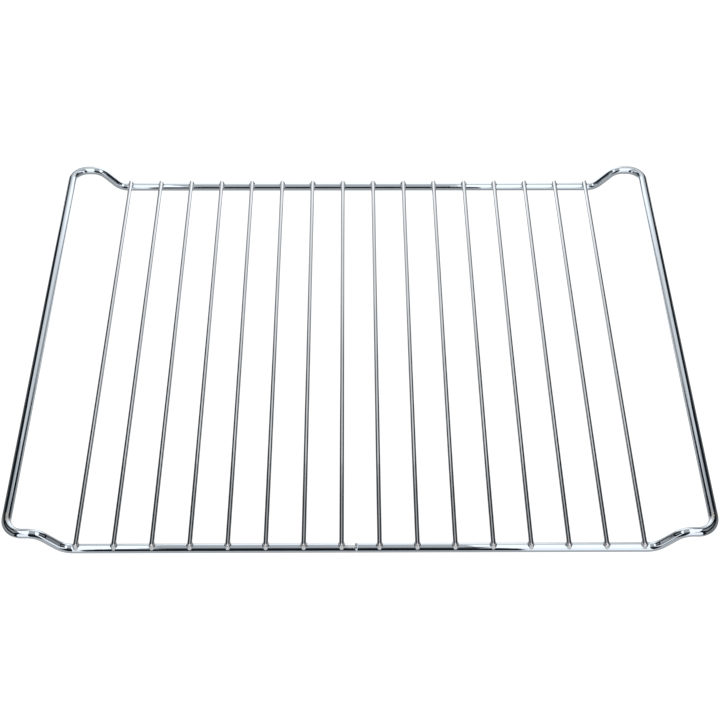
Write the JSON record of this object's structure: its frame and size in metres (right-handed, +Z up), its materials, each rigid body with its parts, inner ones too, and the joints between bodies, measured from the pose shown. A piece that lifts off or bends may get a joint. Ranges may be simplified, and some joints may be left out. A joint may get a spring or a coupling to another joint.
{
  "type": "oven shelf rack",
  "caption": "Chrome-plated wire oven shelf: a bent outer frame with raised side rails that slide in the oven's guides, and parallel cross wires welded on top to carry cookware.",
  "frame": {"origin": "middle of the footprint, on the surface that the front and back bars rest on", "axes": "+X to the right along the bars, +Y to the back along the cross wires, +Z up"},
  "size_m": [0.445, 0.34, 0.023],
  "materials": {
    "bright_plated_steel": "bright plated drawn wire"
  },
  "bodies": {
    "root": {"outer_frame": "bright_plated_steel", "cross_wire_01": "bright_plated_steel", "cross_wire_02": "bright_plated_steel", "cross_wire_03": "bright_plated_steel", "cross_wire_04": "bright_plated_steel", "cross_wire_05": "bright_plated_steel", "cross_wire_06": "bright_plated_steel", "cross_wire_07": "bright_plated_steel", "cross_wire_08": "bright_plated_steel", "cross_wire_09": "bright_plated_steel", "cross_wire_10": "bright_plated_steel", "cross_wire_11": "bright_plated_steel", "cross_wire_12": "bright_plated_steel", "cross_wire_13": "bright_plated_steel", "cross_wire_14": "bright_plated_steel", "cross_wire_15": "bright_plated_steel", "cross_wire_16": "bright_plated_steel"}
  },
  "joints": []
}
